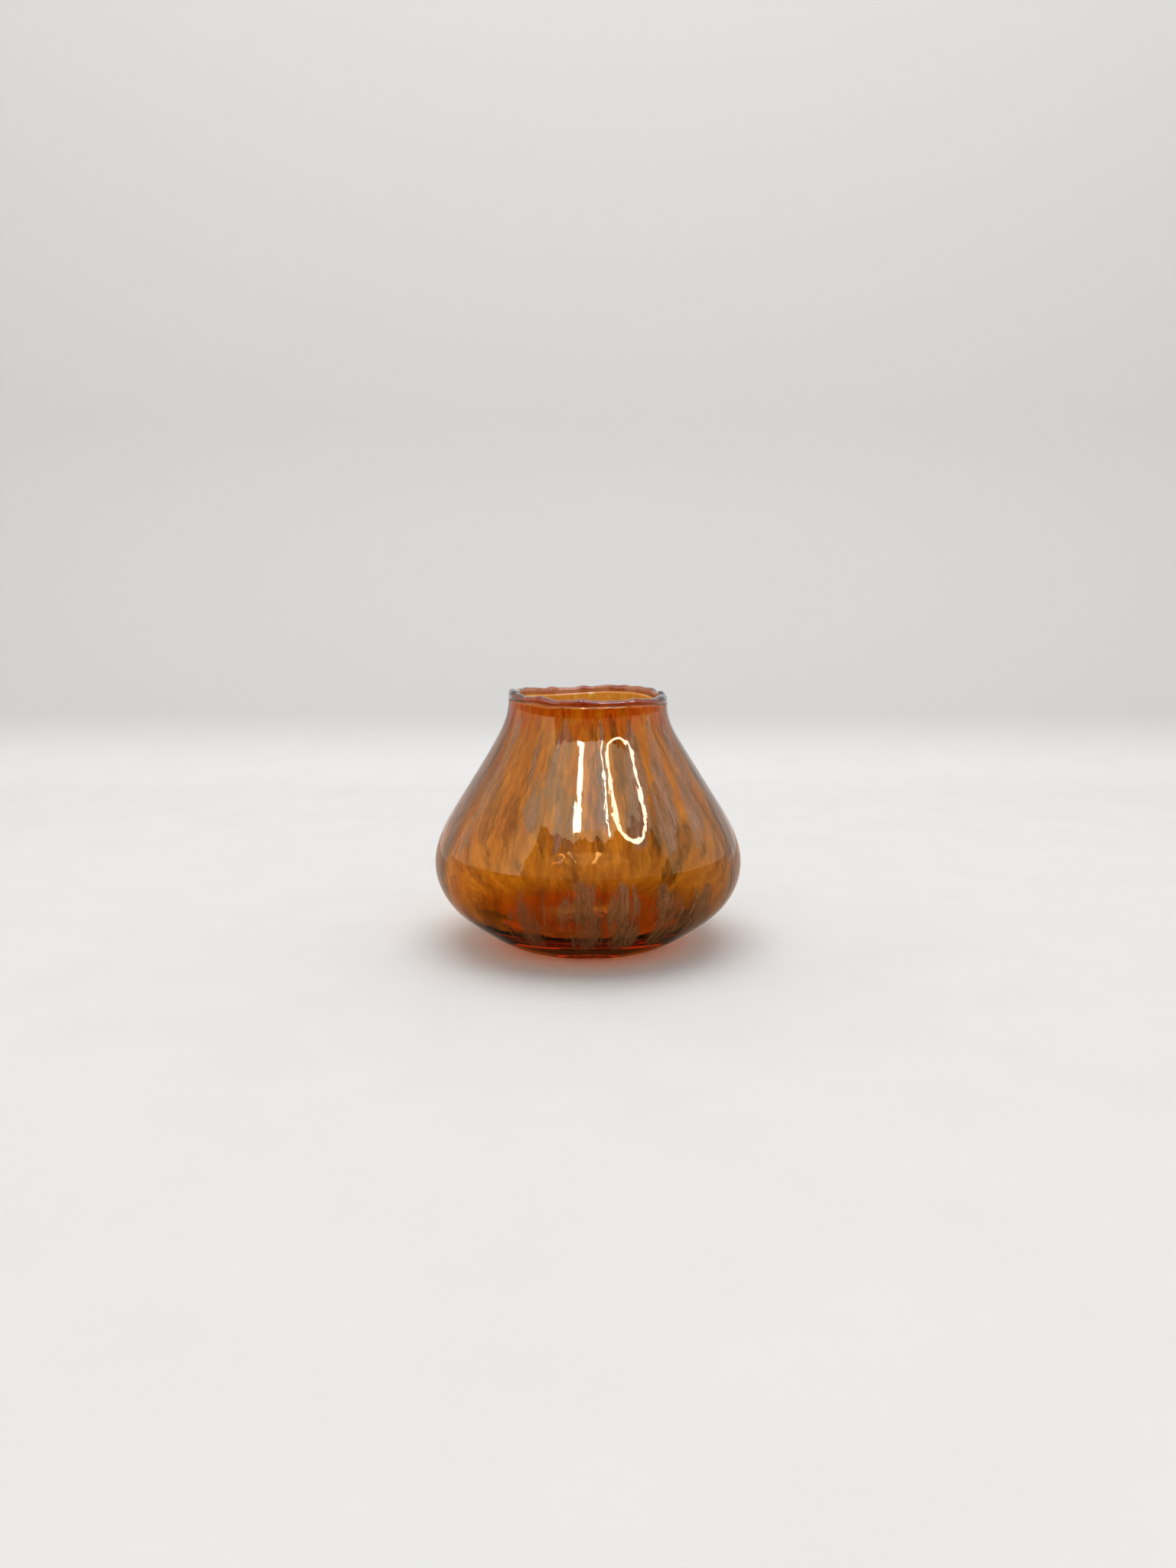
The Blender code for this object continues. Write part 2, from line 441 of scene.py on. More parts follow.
@dataclass(frozen=True)
class Unevenness:
    """The gentle ripple that hand work leaves in the glass.

    Attributes:
        flute_height: height of the upright ripples round the belly.
        flutes: how many of them there are per turn.
        lump_height: height of the slow, wide unevenness.
        lumps: how many wide lumps there are per turn.
        flute_squeeze: how fast the upright ripples change with height.
        lump_squeeze: how fast the wide unevenness does.
    """

    flute_height: float = 0.00008
    flutes: float = 15.0
    lump_height: float = 0.00022
    lumps: float = 3.0
    flute_squeeze: float = 18.0
    lump_squeeze: float = 30.0

    def push(self, angle: float, height: float) -> float:
        """Work out the ripple at one place.

        Args:
            angle: direction round the vase.
            height: height above the table.

        Returns:
            How far the outer face stands proud there.
        """
        ring = Vector((math.cos(angle), math.sin(angle), 0.0))
        flute_place = Vector((7.1, 0.0, height * self.flute_squeeze))
        lump_place = Vector((0.0, 3.3, height * self.lump_squeeze))
        flute = noise.noise(ring * self.flutes / 3 + flute_place)
        lump = noise.noise(ring * self.lumps / 3 + lump_place)
        return self.flute_height * flute + self.lump_height * lump


# ---------------------------------------------------------------- mesh work


class Seam(Enum):
    """Which glass a face is: a skin that meets air, or a fused seam."""

    SKIN = 0
    FUSED = 1


@dataclass
class Turner:
    """Turns outlines round Z into closed meshes.

    Attributes:
        outline: gives the lip's waviness.
        uneven: gives the hand-made ripple.
        around: facets per turn.
    """

    outline: Outline
    uneven: Unevenness
    around: int = 288

    def place(self, radius: float, height: float, angle: float, ripple: float = 1.0) -> Point:
        """Return the point at a radius, height and angle.

        Args:
            radius: distance from the axis.
            height: height above the table.
            angle: direction round the vase.
            ripple: how much of the unevenness the point takes.

        Returns:
            The point, with ripple and lip wave added.
        """
        out = radius + ripple * self.uneven.push(angle, height)
        lift = self.outline.wave(angle, height)
        return out * math.cos(angle), out * math.sin(angle), height + lift

    def turn(
        self,
        name: str,
        rows: Sequence[tuple[float, float, Seam, float]],
        finishes: Sequence[bpy.types.Material],
        closed: bool = False,
    ) -> bpy.types.Object:
        """Turn an outline into a smooth mesh.

        Args:
            name: the piece's name.
            rows: (radius, height, seam, ripple) points; the seam is that of the
                band that follows the point, and a radius of 0 is on the axis.
            finishes: the materials, in the order of Seam.
            closed: whether the last row joins the first.

        Returns:
            The new object.
        """
        verts: list[Point] = []
        rings: list[list[int]] = []
        for radius, height, _, ripple in rows:
            count = 1 if radius == 0.0 else self.around
            rings.append(list(range(len(verts), len(verts) + count)))
            for i in range(count):
                angle = 2 * math.pi * i / self.around
                verts.append(self.place(radius, height, angle, ripple if count > 1 else 0.0))
        faces: list[tuple[int, ...]] = []
        slots: list[int] = []
        last = len(rings) if closed else len(rings) - 1
        for k in range(last):
            lower, upper = rings[k], rings[(k + 1) % len(rings)]
            for i in range(self.around):
                j = (i + 1) % self.around
                if len(lower) == 1:
                    faces.append((lower[0], upper[j], upper[i]))
                elif len(upper) == 1:
                    faces.append((lower[i], lower[j], upper[0]))
                else:
                    faces.append((lower[i], lower[j], upper[j], upper[i]))
                slots.append(rows[k][2].value)
        return solid(name, verts, faces, finishes, slots)


def solid(
    name: str,
    verts: Sequence[Point],
    faces: Sequence[tuple[int, ...]],
    finishes: Sequence[bpy.types.Material],
    slots: Union[Sequence[int], None] = None,
) -> bpy.types.Object:
    """Make one smooth object out of points and faces.

    Args:
        name: the object's name.
        verts: its points.
        faces: its faces, as indices of points.
        finishes: its materials.
        slots: each face's material index; all 0 when left out.

    Returns:
        The new object, linked to the scene.
    """
    mesh = bpy.data.meshes.new(name)
    mesh.from_pydata(verts, [], faces)
    for finish in finishes:
        mesh.materials.append(finish)
    if slots is not None:
        mesh.polygons.foreach_set("material_index", slots)
    mesh.shade_smooth()
    mesh.update()
    item = bpy.data.objects.new(name, mesh)
    bpy.context.scene.collection.objects.link(item)
    return item


def ribbon(steps: int) -> list[tuple[int, int, int, int]]:
    """Return the faces of a strip whose points come in pairs, one pair a step."""
    return [(2 * i, 2 * i + 1, 2 * i + 3, 2 * i + 2) for i in range(steps)]


def ride(item: bpy.types.Object, nodes: Iterable[str]) -> None:
    """Tie a piece to the vase's one body.

    Args:
        item: the piece.
        nodes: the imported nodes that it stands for.
    """
    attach(item, BODY)
    nodes = tuple(nodes)
    if nodes:
        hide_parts(*nodes)
    log.info("%s: %d faces, stands for %s", item.name, len(item.data.polygons), nodes)


# ---------------------------------------------------------------- finishes


Pattern = tuple[float, float, float]
Band = tuple[float, float]
GLASS_IOR = 1.5


@dataclass(frozen=True)
class FusedSeam:
    """Faces where two layers of glass are fused and nothing shows."""

    def make(self) -> bpy.types.Material:
        """Return the invisible material."""
        shop = NodeShop("fused_seam")
        return shop.principled(Base_Color=(1.0, 0.9, 0.8), Alpha=0.0)


@dataclass(frozen=True)
class CasingSkin:
    """The outer skin: clear glass with fine threads of smoke just under it.

    Attributes:
        clear: tint of the clear glass.
        thread: tint where a fine thread of smoke lies.
        foot: tint of the foot, where the amber shines through.
        gloss: colour of its reflections.
        shine: strength of its reflections.
        threads: scale, detail and roughness of the threads' pattern.
        thread_band: heights of that pattern between which a thread sets in.
        thread_cover: how much of a thread shows.
        foot_band: heights between which the foot's tint sets in.
        draw: how little the ripple changes with height.
        wavelets: scales of the broad and the fine ripple.
        fine_share: how much of the fine ripple is added.
        ripple_depth: depth of the ripple in metres.
    """

    clear: Colour = (0.93, 0.80, 0.60)
    thread: Colour = (0.55, 0.38, 0.26)
    foot: Colour = (0.97, 0.42, 0.09)
    gloss: Colour = (1.0, 0.98, 0.50)
    shine: float = 0.48
    threads: Pattern = (17.0, 5.0, 0.62)
    thread_band: Band = (0.50, 0.66)
    thread_cover: float = 0.8
    foot_band: Band = (0.0042, 0.0022)
    draw: float = 0.25
    wavelets: Band = (160.0, 620.0)
    fine_share: float = 0.14
    ripple_depth: float = 0.00022

    def make(self) -> bpy.types.Material:
        """Mix the finish.

        Returns:
            The glass material.
        """
        shop = NodeShop("casing_skin")
        _, x, y, z = shop.position()
        ring = shop.pulled(x, y, z, 9.0)
        threads = shop.noise(ring, *self.threads).ramp(*self.thread_band)
        grain = shop.vector(x, y, z * self.draw)
        broad, fine = (shop.noise(grain, scale, 2.0) for scale in self.wavelets)
        wall = shop.blend(threads * self.thread_cover, self.clear, self.thread)
        return shop.principled(
            Base_Color=shop.blend(z.ramp(*self.foot_band), wall, self.foot),
            Roughness=shop.noise(grain, 90.0, 3.0).ramp(0.62, 0.80) * 0.03 + 0.004,
            Normal=shop.bump(broad + fine * self.fine_share, self.ripple_depth, 0.5),
            IOR=GLASS_IOR,
            Transmission_Weight=1.0,
            Specular_IOR_Level=self.shine,
            Specular_Tint=self.gloss,
        )


@dataclass(frozen=True)
class AmberFilm:
    """The amber gather's colour, where it meets the casing, with a brown patch of painted shade low
    on the front.

    Attributes:
        amber: the gather's own colour through one wall.
        ember: the redder amber that pools under the lip.
        glow: the red of the thick base.
        honey: the paler amber between the pulls.
        shade_brown: the brown of the painted shade low on the front, between the short streaks.
        pulls: scale, detail and roughness of the amber's pulls.
        pull_band: heights of that pattern between which honey sets in.
        blot_band: the same for the pooled ember.
        neck: heights between which the ember pools under the lip.
        base: heights between which the base reddens.
        shade_top: heights between which the painted shade sets in.
        shade_drip: how far a pull holds the painted shade back, and how much higher it
            reaches on the right.
        shade_right: distances to the right over which it rises.
        shade_front: places from back to front between which it sets in.
        shade_left: places from left to right between which it sets in.
        shade_cover: how much of the painted shade shows.
    """

    amber: Colour = (0.51, 0.145, 0.003)
    ember: Colour = (0.60, 0.095, 0.002)
    glow: Colour = (0.95, 0.22, 0.008)
    honey: Colour = (0.74, 0.29, 0.014)
    shade_brown: Colour = (0.32, 0.135, 0.020)
    pulls: Pattern = (8.0, 5.0, 0.62)
    pull_band: Band = (0.40, 0.62)
    blot_band: Band = (0.56, 0.68)
    neck: Band = (0.064, 0.075)
    base: Band = (0.011, 0.004)
    shade_top: Band = (0.047, 0.034)
    shade_drip: Band = (0.008, 0.013)
    shade_right: Band = (0.0, 0.022)
    shade_front: Band = (-0.004, -0.018)
    shade_left: Band = (-0.030, -0.012)
    shade_cover: float = 0.80

    def make(self) -> bpy.types.Material:
        """Mix the finish.

        Returns:
            The tinted, unbending material.
        """
        shop = NodeShop("amber_film")
        _, x, y, z = shop.position()
        pulls = shop.noise(shop.pulled(x, y, z, 7.0), *self.pulls).ramp(*self.pull_band)
        blots = shop.noise(shop.pulled(x, y, z, 22.0), 8.0, 3.0)
        neck = z.ramp(*self.neck)
        tone = shop.blend(pulls, self.amber, self.honey)
        tone = shop.blend((blots + neck * 0.18).ramp(*self.blot_band) * neck, tone, self.ember)
        # Painted shade: a brown patch low on the front, held back by the pulls and rising to the
        # right, darkens the amber between the short streaks.
        drip, rise = self.shade_drip
        hung = z + pulls * drip - x.ramp(*self.shade_right) * rise
        shade_patch = hung.ramp(*self.shade_top) * y.ramp(*self.shade_front) * x.ramp(*self.shade_left)
        tone = shop.blend(shade_patch * self.shade_cover, tone, self.shade_brown)
        return shop.principled(
            Base_Color=shop.blend(z.ramp(*self.base), tone, self.glow),
            Roughness=0.0,
            IOR=1.0,
            Transmission_Weight=1.0,
            Specular_IOR_Level=0.0,
        )


@dataclass(frozen=True)
class InnerSkin:
    """The inside of the vase, where the amber glass meets the air again.

    Attributes:
        tint: the glass's tint.
        draw: how little the ripple changes with height.
        ripple_depth: depth of the ripple in metres.
    """

    tint: Colour = (0.97, 0.90, 0.78)
    draw: float = 0.3
    ripple_depth: float = 0.0002

    def make(self) -> bpy.types.Material:
        """Mix the finish.

        Returns:
            The glass material.
        """
        shop = NodeShop("inner_skin")
        _, x, y, z = shop.position()
        ripple = shop.noise(shop.vector(x, y, z * self.draw), 140.0, 2.0)
        return shop.principled(
            Base_Color=self.tint,
            Roughness=0.01,
            Normal=shop.bump(ripple, self.ripple_depth, 0.5),
            IOR=GLASS_IOR,
            Transmission_Weight=1.0,
            Specular_IOR_Level=0.25,
        )


@dataclass(frozen=True)
class SmokeGlass:
    """Grey-brown streak glass, milky in its middle and ragged at its ends.

    Attributes:
        smoke: the streak's usual colour.
        mauve: its colour where it is drawn thin.
        low: its colour low on the belly.
        cover: how much of the amber a streak on the left hides at most.
        right_cover: how much is added to that on the right.
        thin_back: the share of that cover which the streaks round the back have.
        threads: scale, detail and roughness of the threads in a streak.
        strands: the same for its broader strands.
        fine: scale and detail of its finest threads.
        weights: how much of the threads, the strands, the ends, the middle, the
            right side and the low belly go into a streak's body.
        sparse: what is taken off that body, so that gaps open up.
    """

    smoke: Colour = (0.33, 0.185, 0.130)
    mauve: Colour = (0.50, 0.32, 0.26)
    low: Colour = (0.34, 0.165, 0.058)
    cover: float = 0.68
    right_cover: float = 0.24
    thin_back: float = 0.55
    threads: Pattern = (24.0, 5.0, 0.60)
    strands: Pattern = (8.0, 4.0, 0.60)
    fine: Band = (52.0, 4.0)
    weights: tuple[float, ...] = (0.78, 0.55, 0.50, 0.52, 0.24, 0.06)
    sparse: float = 0.98

    def make(self) -> bpy.types.Material:
        """Mix the finish.

        Returns:
            The half-clear material.
        """
        shop = NodeShop("smoke_glass")
        _, x, y, z = shop.position()
        ring = shop.pulled(x, y, z, 4.0)
        place = shop.node("ShaderNodeUVMap", {"uv_map": "pull"}).outputs[0]
        parts = shop.node("ShaderNodeSeparateXYZ", inputs={0: place}).outputs
        across, along = shop.number(parts[0]), shop.number(parts[1])
        middle = 1.0 - (across - 0.5).size() * 2.0
        ends = along.ramp(0.0, 0.26) * (1.0 - along).ramp(0.0, 0.09)
        threads = shop.noise(ring, *self.threads).ramp(0.40, 0.62)
        strands = shop.noise(ring, *self.strands).ramp(0.34, 0.64)
        shares = (threads, strands, ends, middle, x.ramp(-0.010, 0.010), z.ramp(0.040, 0.030))
        body = sum((share * weight for share, weight in zip(shares, self.weights)), -self.sparse)
        fine = shop.noise(ring, *self.fine).ramp(0.36, 0.60) * 0.45 + 0.55
        rim = middle.ramp(0.0, 0.42) * ends.ramp(0.0, 0.30) * z.ramp(0.0055, 0.0110)
        side = x.ramp(-0.006, 0.012) * self.right_cover + self.cover
        cover = side * (y.ramp(0.012, -0.008) * (1.0 - self.thin_back) + self.thin_back)
        tone = shop.blend(shop.noise(ring, 13.0, 4.0).ramp(0.42, 0.72), self.smoke, self.mauve)
        return shop.principled(
            Base_Color=shop.blend(z.ramp(0.040, 0.024) * 0.8, tone, self.low),
            Roughness=0.6,
            Specular_IOR_Level=0.0,
            Alpha=body.ramp(0.0, 0.95) * rim * cover * fine,
        )


@dataclass(frozen=True)
class LipGlass:
    """The fire-polished bead: copper-pink glass under a hard gloss.

    Attributes:
        tint: the bead's colour.
        deep: its colour in the thicker stretches.
        bend: its index, low so that its edges stay clear.
        ripple_depth: depth of its unevenness in metres.
    """

    tint: Colour = (0.52, 0.18, 0.075)
    deep: Colour = (0.38, 0.080, 0.018)
    bend: float = 1.22
    ripple_depth: float = 0.0004

    def make(self) -> bpy.types.Material:
        """Mix the finish.

        Returns:
            The glass material.
        """
        shop = NodeShop("lip_glass")
        place, _, _, _ = shop.position()
        patches = shop.noise(place, 150.0, 3.0).ramp(0.4, 0.62)
        return shop.principled(
            Base_Color=shop.blend(patches, self.tint, self.deep),
            Roughness=0.01,
            Normal=shop.bump(shop.noise(place, 190.0, 3.0), self.ripple_depth, 0.8),
            IOR=self.bend,
            Transmission_Weight=1.0,
            Coat_Weight=0.9,
            Coat_Roughness=0.02,
        )


@dataclass(frozen=True)
class PontilGlass:
    """The pontil seal: clear glass with a frosted, broken face.

    Attributes:
        tint: the seal's colour, from the amber over it.
        chip_depth: depth of the chips in its face, in metres.
    """

    tint: Colour = (0.80, 0.42, 0.16)
    chip_depth: float = 0.0003

    def make(self) -> bpy.types.Material:
        """Mix the finish.

        Returns:
            The glass material.
        """
        shop = NodeShop("pontil_glass")
        place, _, _, _ = shop.position()
        chips = shop.noise(place, 500.0, 4.0)
        return shop.principled(
            Base_Color=self.tint,
            Roughness=chips.ramp(0.35, 0.7) * 0.4 + 0.08,
            Normal=shop.bump(chips, self.chip_depth, 0.7),
            IOR=GLASS_IOR,
            Transmission_Weight=1.0,
        )


@dataclass(frozen=True)
class PaleBoard:
    """The matt white sweep that the vase stands on, with painted shade where it stands up behind.

    Attributes:
        colour: its colour where it lies flat.
        upright: its colour where it stands up behind, darker as painted shade for the less light
            that falls there.
        worn: how much of its brightness the mottle leaves.
        bend: heights between which flat turns to upright.
    """

    colour: Colour = (0.87, 0.87, 0.868)
    upright: Colour = (0.655, 0.655, 0.655)
    worn: float = 0.975
    bend: Band = (0.0, 0.035)

    def make(self) -> bpy.types.Material:
        """Mix the finish.

        Returns:
            The matt material.
        """
        shop = NodeShop("pale_board")
        place, _, _, z = shop.position()
        mottle = shop.noise(place, 30.0, 5.0).ramp(0.3, 0.75)
        plain = shop.blend(mottle, self.colour, tuple(c * self.worn for c in self.colour))
        # The darker upright colour is painted shade on the part of the sweep that stands up behind.
        return shop.principled(
            Base_Color=shop.blend(z.ramp(*self.bend), plain, self.upright),
            Roughness=0.7,
            Specular_IOR_Level=0.15,
        )


@dataclass(frozen=True)
class Glow:
    """An even light surface of the studio.

    Attributes:
        name: the material's name.
        colour: the light's colour.
        strength: its brightness.
    """

    name: str
    colour: Colour
    strength: float

    def make(self) -> bpy.types.Material:
        """Return the glowing material."""
        return NodeShop(self.name).emission(self.colour, self.strength)


@dataclass(frozen=True)
class TableGlare:
    """What the glass mirrors of the room's dark side, and of the table as painted shade: black in
    front, paler to the sides.

    Attributes:
        front: light from straight in front.
        side: light from the two sides.
        turn: angles from the front, in radians, between which it pales.
    """

    front: Colour = (0.05, 0.024, 0.010)
    side: Colour = (0.64, 0.49, 0.41)
    turn: Band = (0.75, 2.2)

    def make(self) -> bpy.types.Material:
        """Return the glowing material."""
        shop = NodeShop("table_glare")
        _, x, y, _ = shop.position()
        turn = x.turn_from(y * -1.0).size().ramp(*self.turn)
        return shop.emission(shop.blend(turn, self.front, self.side), 1.0)


@dataclass(frozen=True)
class TentGlow:
    """The tent's lit fabric, brightest behind the camera and dimmer to the sides.

    Attributes:
        front: light of the fabric behind the camera.
        side: light of the fabric at the sides.
        crown: light of the fabric at its upper edge.
        strength: brightness of them all.
        turn: angles from the front, in radians, between which it dims.
        rise: heights between which the crown sets in.
    """

    front: Colour = (1.0, 0.97, 1.05)
    side: Colour = (0.46, 0.37, 0.32)
    crown: Colour = (0.20, 0.20, 0.20)
    strength: float = 2.9
    turn: Band = (0.7, 1.5)
    rise: Band = (0.75, 1.35)

    def make(self) -> bpy.types.Material:
        """Mix the finish.

        Returns:
            The glowing material.
        """
        shop = NodeShop("tent_glow")
        place, x, y, z = shop.position()
        turn = x.turn_from(y * -1.0).size().ramp(*self.turn)
        folds = shop.noise(place, 3.0, 2.0).ramp(0.3, 0.7) * 0.25
        colour = shop.blend((turn + folds).smaller(1.0), self.front, self.side)
        return shop.emission(shop.blend(z.ramp(*self.rise), colour, self.crown), self.strength)


# ---------------------------------------------------------------- the vase


@dataclass
class Layers:
    """Depths of the wall's layers inside the outer face, and their floors.

    Attributes:
        casing_wall: thickness of the casing.
        gap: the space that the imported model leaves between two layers.
        streak_wall: thickness of a streak.
        gather_wall: thickness of the gather.
        casing_floor: height of the casing's floor over the table.
        gather_floor: height of the inside's floor.
        lip_height: height of the lip's bead.
    """

    casing_wall: float = 0.0008
    gap: float = 0.0003
    streak_wall: float = 0.0003
    gather_wall: float = 0.0010
    casing_floor: float = 0.0022
    gather_floor: float = 0.0070
    lip_height: float = 0.0020

    @property
    def streak_outer(self) -> float:
        """Depth of the streaks' outer faces."""
        return self.casing_wall + self.gap

    @property
    def streak_inner(self) -> float:
        """Depth of the streaks' inner faces."""
        return self.streak_outer + self.streak_wall

    @property
    def gather_outer(self) -> float:
        """Depth of the gather's outer face."""
        return self.streak_inner + self.gap

    @property
    def gather_inner(self) -> float:
        """Depth of the vase's inner face."""
        return self.gather_outer + self.gather_wall


@dataclass
class Casing:
    """The clear outer jacket, with the dimple of the pontil under its foot.

    Attributes:
        turner: turns it.
        layers: the wall's layers.
        top: height of its upper edge.
        steps: stretches of its outline.
        dimple_radius: radius of the dimple.
        dimple_depth: depth of the dimple.
        dimple_steps: stretches of the dimple's outline.
        dimple_flat: how flat the dimple's middle is.
    """

    turner: Turner
    layers: Layers
    top: float
    steps: int = 170
    dimple_radius: float = 0.0090
    dimple_depth: float = 0.0012
    dimple_steps: int = 12
    dimple_flat: int = 3

    def build(self, skin: bpy.types.Material, seam: bpy.types.Material) -> bpy.types.Object:
        """Build and dress the casing.

        Args:
            skin: finish of the faces that meet air.
            seam: finish of the faces fused to the gather.

        Returns:
            The casing.
        """
        outline = self.turner.outline
        rows = [(0.0, self.dimple_depth, Seam.SKIN, 0.0)]
        for i in range(1, self.dimple_steps + 1):
            share = i / self.dimple_steps
            fall = 0.5 + 0.5 * math.cos(math.pi * share ** self.dimple_flat)
            height = self.dimple_depth * fall
            rows.append((self.dimple_radius * share, height, Seam.SKIN, 0.0))
        for r, z in outline.run(0.0, 0.0, self.top, self.steps):
            rows.append((r, z, Seam.SKIN, ripple_share(z)))
        rows[-1] = (*rows[-1][:2], Seam.FUSED, rows[-1][3])
        inner = outline.run(self.layers.casing_wall, self.layers.casing_floor, self.top, self.steps)
        for r, z in reversed(inner):
            rows.append((r, z, Seam.FUSED, ripple_share(z)))
        rows.append((0.0, self.layers.casing_floor, Seam.FUSED, 0.0))
        item = self.turner.turn("clear_casing_glass", rows, (skin, seam))
        ride(item, ["clear_casing"])
        return item


@dataclass
class Gather:
    """The amber vessel inside the casing, with its thick base.

    Attributes:
        turner: turns it.
        layers: the wall's layers.
        top: height of its upper edge.
        steps: stretches of its outline.
        bowl_height: height where the bowl leaves the wall.
        bowl_reach: how far the bowl follows the wall's slope.
        bowl_flat: radius within which the bowl flattens.
        bowl_rings: stretches of the bowl.
    """

    turner: Turner
    layers: Layers
    top: float
    steps: int = 150
    bowl_height: float = 0.0145
    bowl_reach: float = 0.0100
    bowl_flat: float = 0.0200
    bowl_rings: int = 40

    def bowl(
        self, edge: tuple[float, float], above: tuple[float, float]
    ) -> list[tuple[float, float]]:
        """Draw the rounded bottom of the inside.

        Args:
            edge: (radius, height) where the bowl leaves the wall.
            above: the wall's next point above it, which gives the slope.

        Returns:
            Points of a Bezier curve from below the edge to the axis.
        """
        floor = self.layers.gather_floor
        length = math.hypot(above[0] - edge[0], above[1] - edge[1])
        pull_r = edge[0] - (above[0] - edge[0]) / length * self.bowl_reach
        pull_z = max(edge[1] - (above[1] - edge[1]) / length * self.bowl_reach, floor)
        points = []
        for i in range(1, self.bowl_rings + 1):
            t = i / self.bowl_rings
            a, b, c, d = (1 - t) ** 3, 3 * t * (1 - t) ** 2, 3 * t * t * (1 - t), t ** 3
            height = a * edge[1] + b * pull_z + (c + d) * floor
            points.append((a * edge[0] + b * pull_r + c * self.bowl_flat, height))
        points[-1] = (0.0, floor)
        return points

    def build(self, film: bpy.types.Material, skin: bpy.types.Material) -> bpy.types.Object:
        """Build and dress the gather.

        Args:
            film: finish of the faces fused to the casing.
            skin: finish of the inside faces.

        Returns:
            The gather.
        """
        outline = self.turner.outline
        under = self.layers.casing_floor + self.layers.gap
        rows = [(0.0, under, Seam.SKIN, 0.0)]
        for r, z in outline.run(self.layers.gather_outer, under, self.top, self.steps):
            rows.append((r, z, Seam.SKIN, ripple_share(z)))
        depth = self.layers.gather_inner
        inner = outline.run(depth, self.bowl_height, self.top, self.steps)
        for r, z in reversed(inner):
            rows.append((r, z, Seam.FUSED, ripple_share(z)))
        for r, z in self.bowl(inner[0], inner[1]):
            rows.append((r, z, Seam.FUSED, ripple_share(z) * min(r / inner[0][0], 1.0)))
        item = self.turner.turn("amber_gather_glass", rows, (film, skin))
        ride(item, ["amber_gather"])
        return item


def ripple_share(height: float) -> float:
    """Return how much ripple a height takes: none at the foot, all of it from 8 mm up."""
    return ease(height, RIPPLE_START, RIPPLE_FULL)


@dataclass
class LipTurner(Turner):
    """Turns the lip, whose bead is a little uneven all the way round.

    Attributes:
        bottom: height where the bead begins.
        swell: how far its crest rises and falls.
        slow: how many slow swells there are in a radian.
        quick: how many quick ones.
        quick_share: how high the quick swells are beside the slow ones.
    """

    bottom: float = 0.0800
    swell: float = 0.0009
    slow: float = 2.6
    quick: float = 7.0
    quick_share: float = 0.45

    def place(self, radius: float, height: float, angle: float, ripple: float = 1.0) -> Point:
        """Return the point at a radius, height and angle, with the bead's own swell.

        Args:
            radius: distance from the axis.
            height: height above the table.
            angle: direction round the vase.
            ripple: how much of the unevenness the point takes.

        Returns:
            The point.
        """
        x, y, z = super().place(radius, height, angle, ripple)
        ring = Vector((math.cos(angle), math.sin(angle), 0.0))
        wave = noise.noise(ring * self.slow + Vector((0.0, 0.0, 4.0)))
        wave += self.quick_share * noise.noise(ring * self.quick + Vector((9.0, 0.0, 0.0)))
        share = max(height - self.bottom, 0.0) / (self.outline.lip_top - self.bottom)
        return x, y, z + self.swell * wave * share


@dataclass
class Lip:
    """The fire-polished bead that closes the wall's top edge.

    Attributes:
        turner: turns it.
        layers: the wall's layers.
        bottom: height of its underside.
        overhang: how far its sides bulge.
        steps: stretches of its section.
        fullness: power of the section's rounding; less makes it squarer.
    """

    turner: Turner
    layers: Layers
    bottom: float
    overhang: float = 0.00012
    steps: int = 28
    fullness: float = 0.75

    def build(self, skin: bpy.types.Material, seam: bpy.types.Material) -> bpy.types.Object:
        """Build and dress the lip.

        Args:
            skin: finish of the faces that meet air.
            seam: finish of the underside, fused to the wall.

        Returns:
            The lip.
        """
        outline = self.turner.outline
        outer = outline.inside(outline.u_at(self.bottom), 0.0)[0]
        depth = self.layers.gather_inner
        inner = outline.inside(outline.u_at(self.bottom, depth), depth)[0]
        centre, half = (outer + inner) / 2, (outer - inner) / 2
        rows = []
        for i in range(self.steps + 1):
            turn = math.pi * i / self.steps
            bulge = self.overhang * math.sin(turn * 2) ** 2
            reach = math.copysign(abs(math.cos(turn)) ** self.fullness, math.cos(turn))
            across = (half + bulge) * reach
            up = (outline.lip_top - self.bottom) * math.sin(turn) ** self.fullness
            seam_kind = Seam.FUSED if i == self.steps else Seam.SKIN
            rows.append((centre + across, self.bottom + up, seam_kind, 1.0))
        item = self.turner.turn("lip_bead_glass", rows, (skin, seam), closed=True)
        ride(item, ["fire_polished_lip"])
        return item


@dataclass
class PontilSeal:
    """The low button of glass left in the dimple under the foot.

    Attributes:
        turner: turns it.
        radius: radius of its face.
        bottom: height of its face.
        top: height of its upper side.
        rings: rings of its face.
        lap: how uneven the spacing of those rings is.
        hollow: how far its face curves up.
        ripple: how much of the glass's unevenness it takes.
        shoulder: its upper side's share of the face's radius.
    """

    turner: Turner
    radius: float = 0.0073
    bottom: float = 0.0004
    top: float = 0.0009
    rings: int = 14
    lap: float = 0.02
    hollow: float = 0.00012
    ripple: float = 0.4
    shoulder: float = 0.95

    def build(self, skin: bpy.types.Material) -> bpy.types.Object:
        """Build and dress the seal.

        Args:
            skin: the seal's finish.

        Returns:
            The seal.
        """
        rows = [(0.0, self.bottom, Seam.SKIN, 0.0)]
        for i in range(1, self.rings):
            share = i / self.rings
            radius = self.radius * share * (1 + self.lap * math.sin(share * 21))
            height = self.bottom + self.hollow * share ** 4
            rows.append((radius, height, Seam.SKIN, self.ripple))
        rows.append((self.radius, (self.bottom + self.top) / 2, Seam.SKIN, self.ripple))
        rows.append((self.radius * self.shoulder, self.top, Seam.SKIN, self.ripple))
        rows.append((0.0, self.top, Seam.SKIN, 0.0))
        item = self.turner.turn("pontil_seal_glass", rows, (skin,))
        ride(item, ["pontil_seal"])
        return item


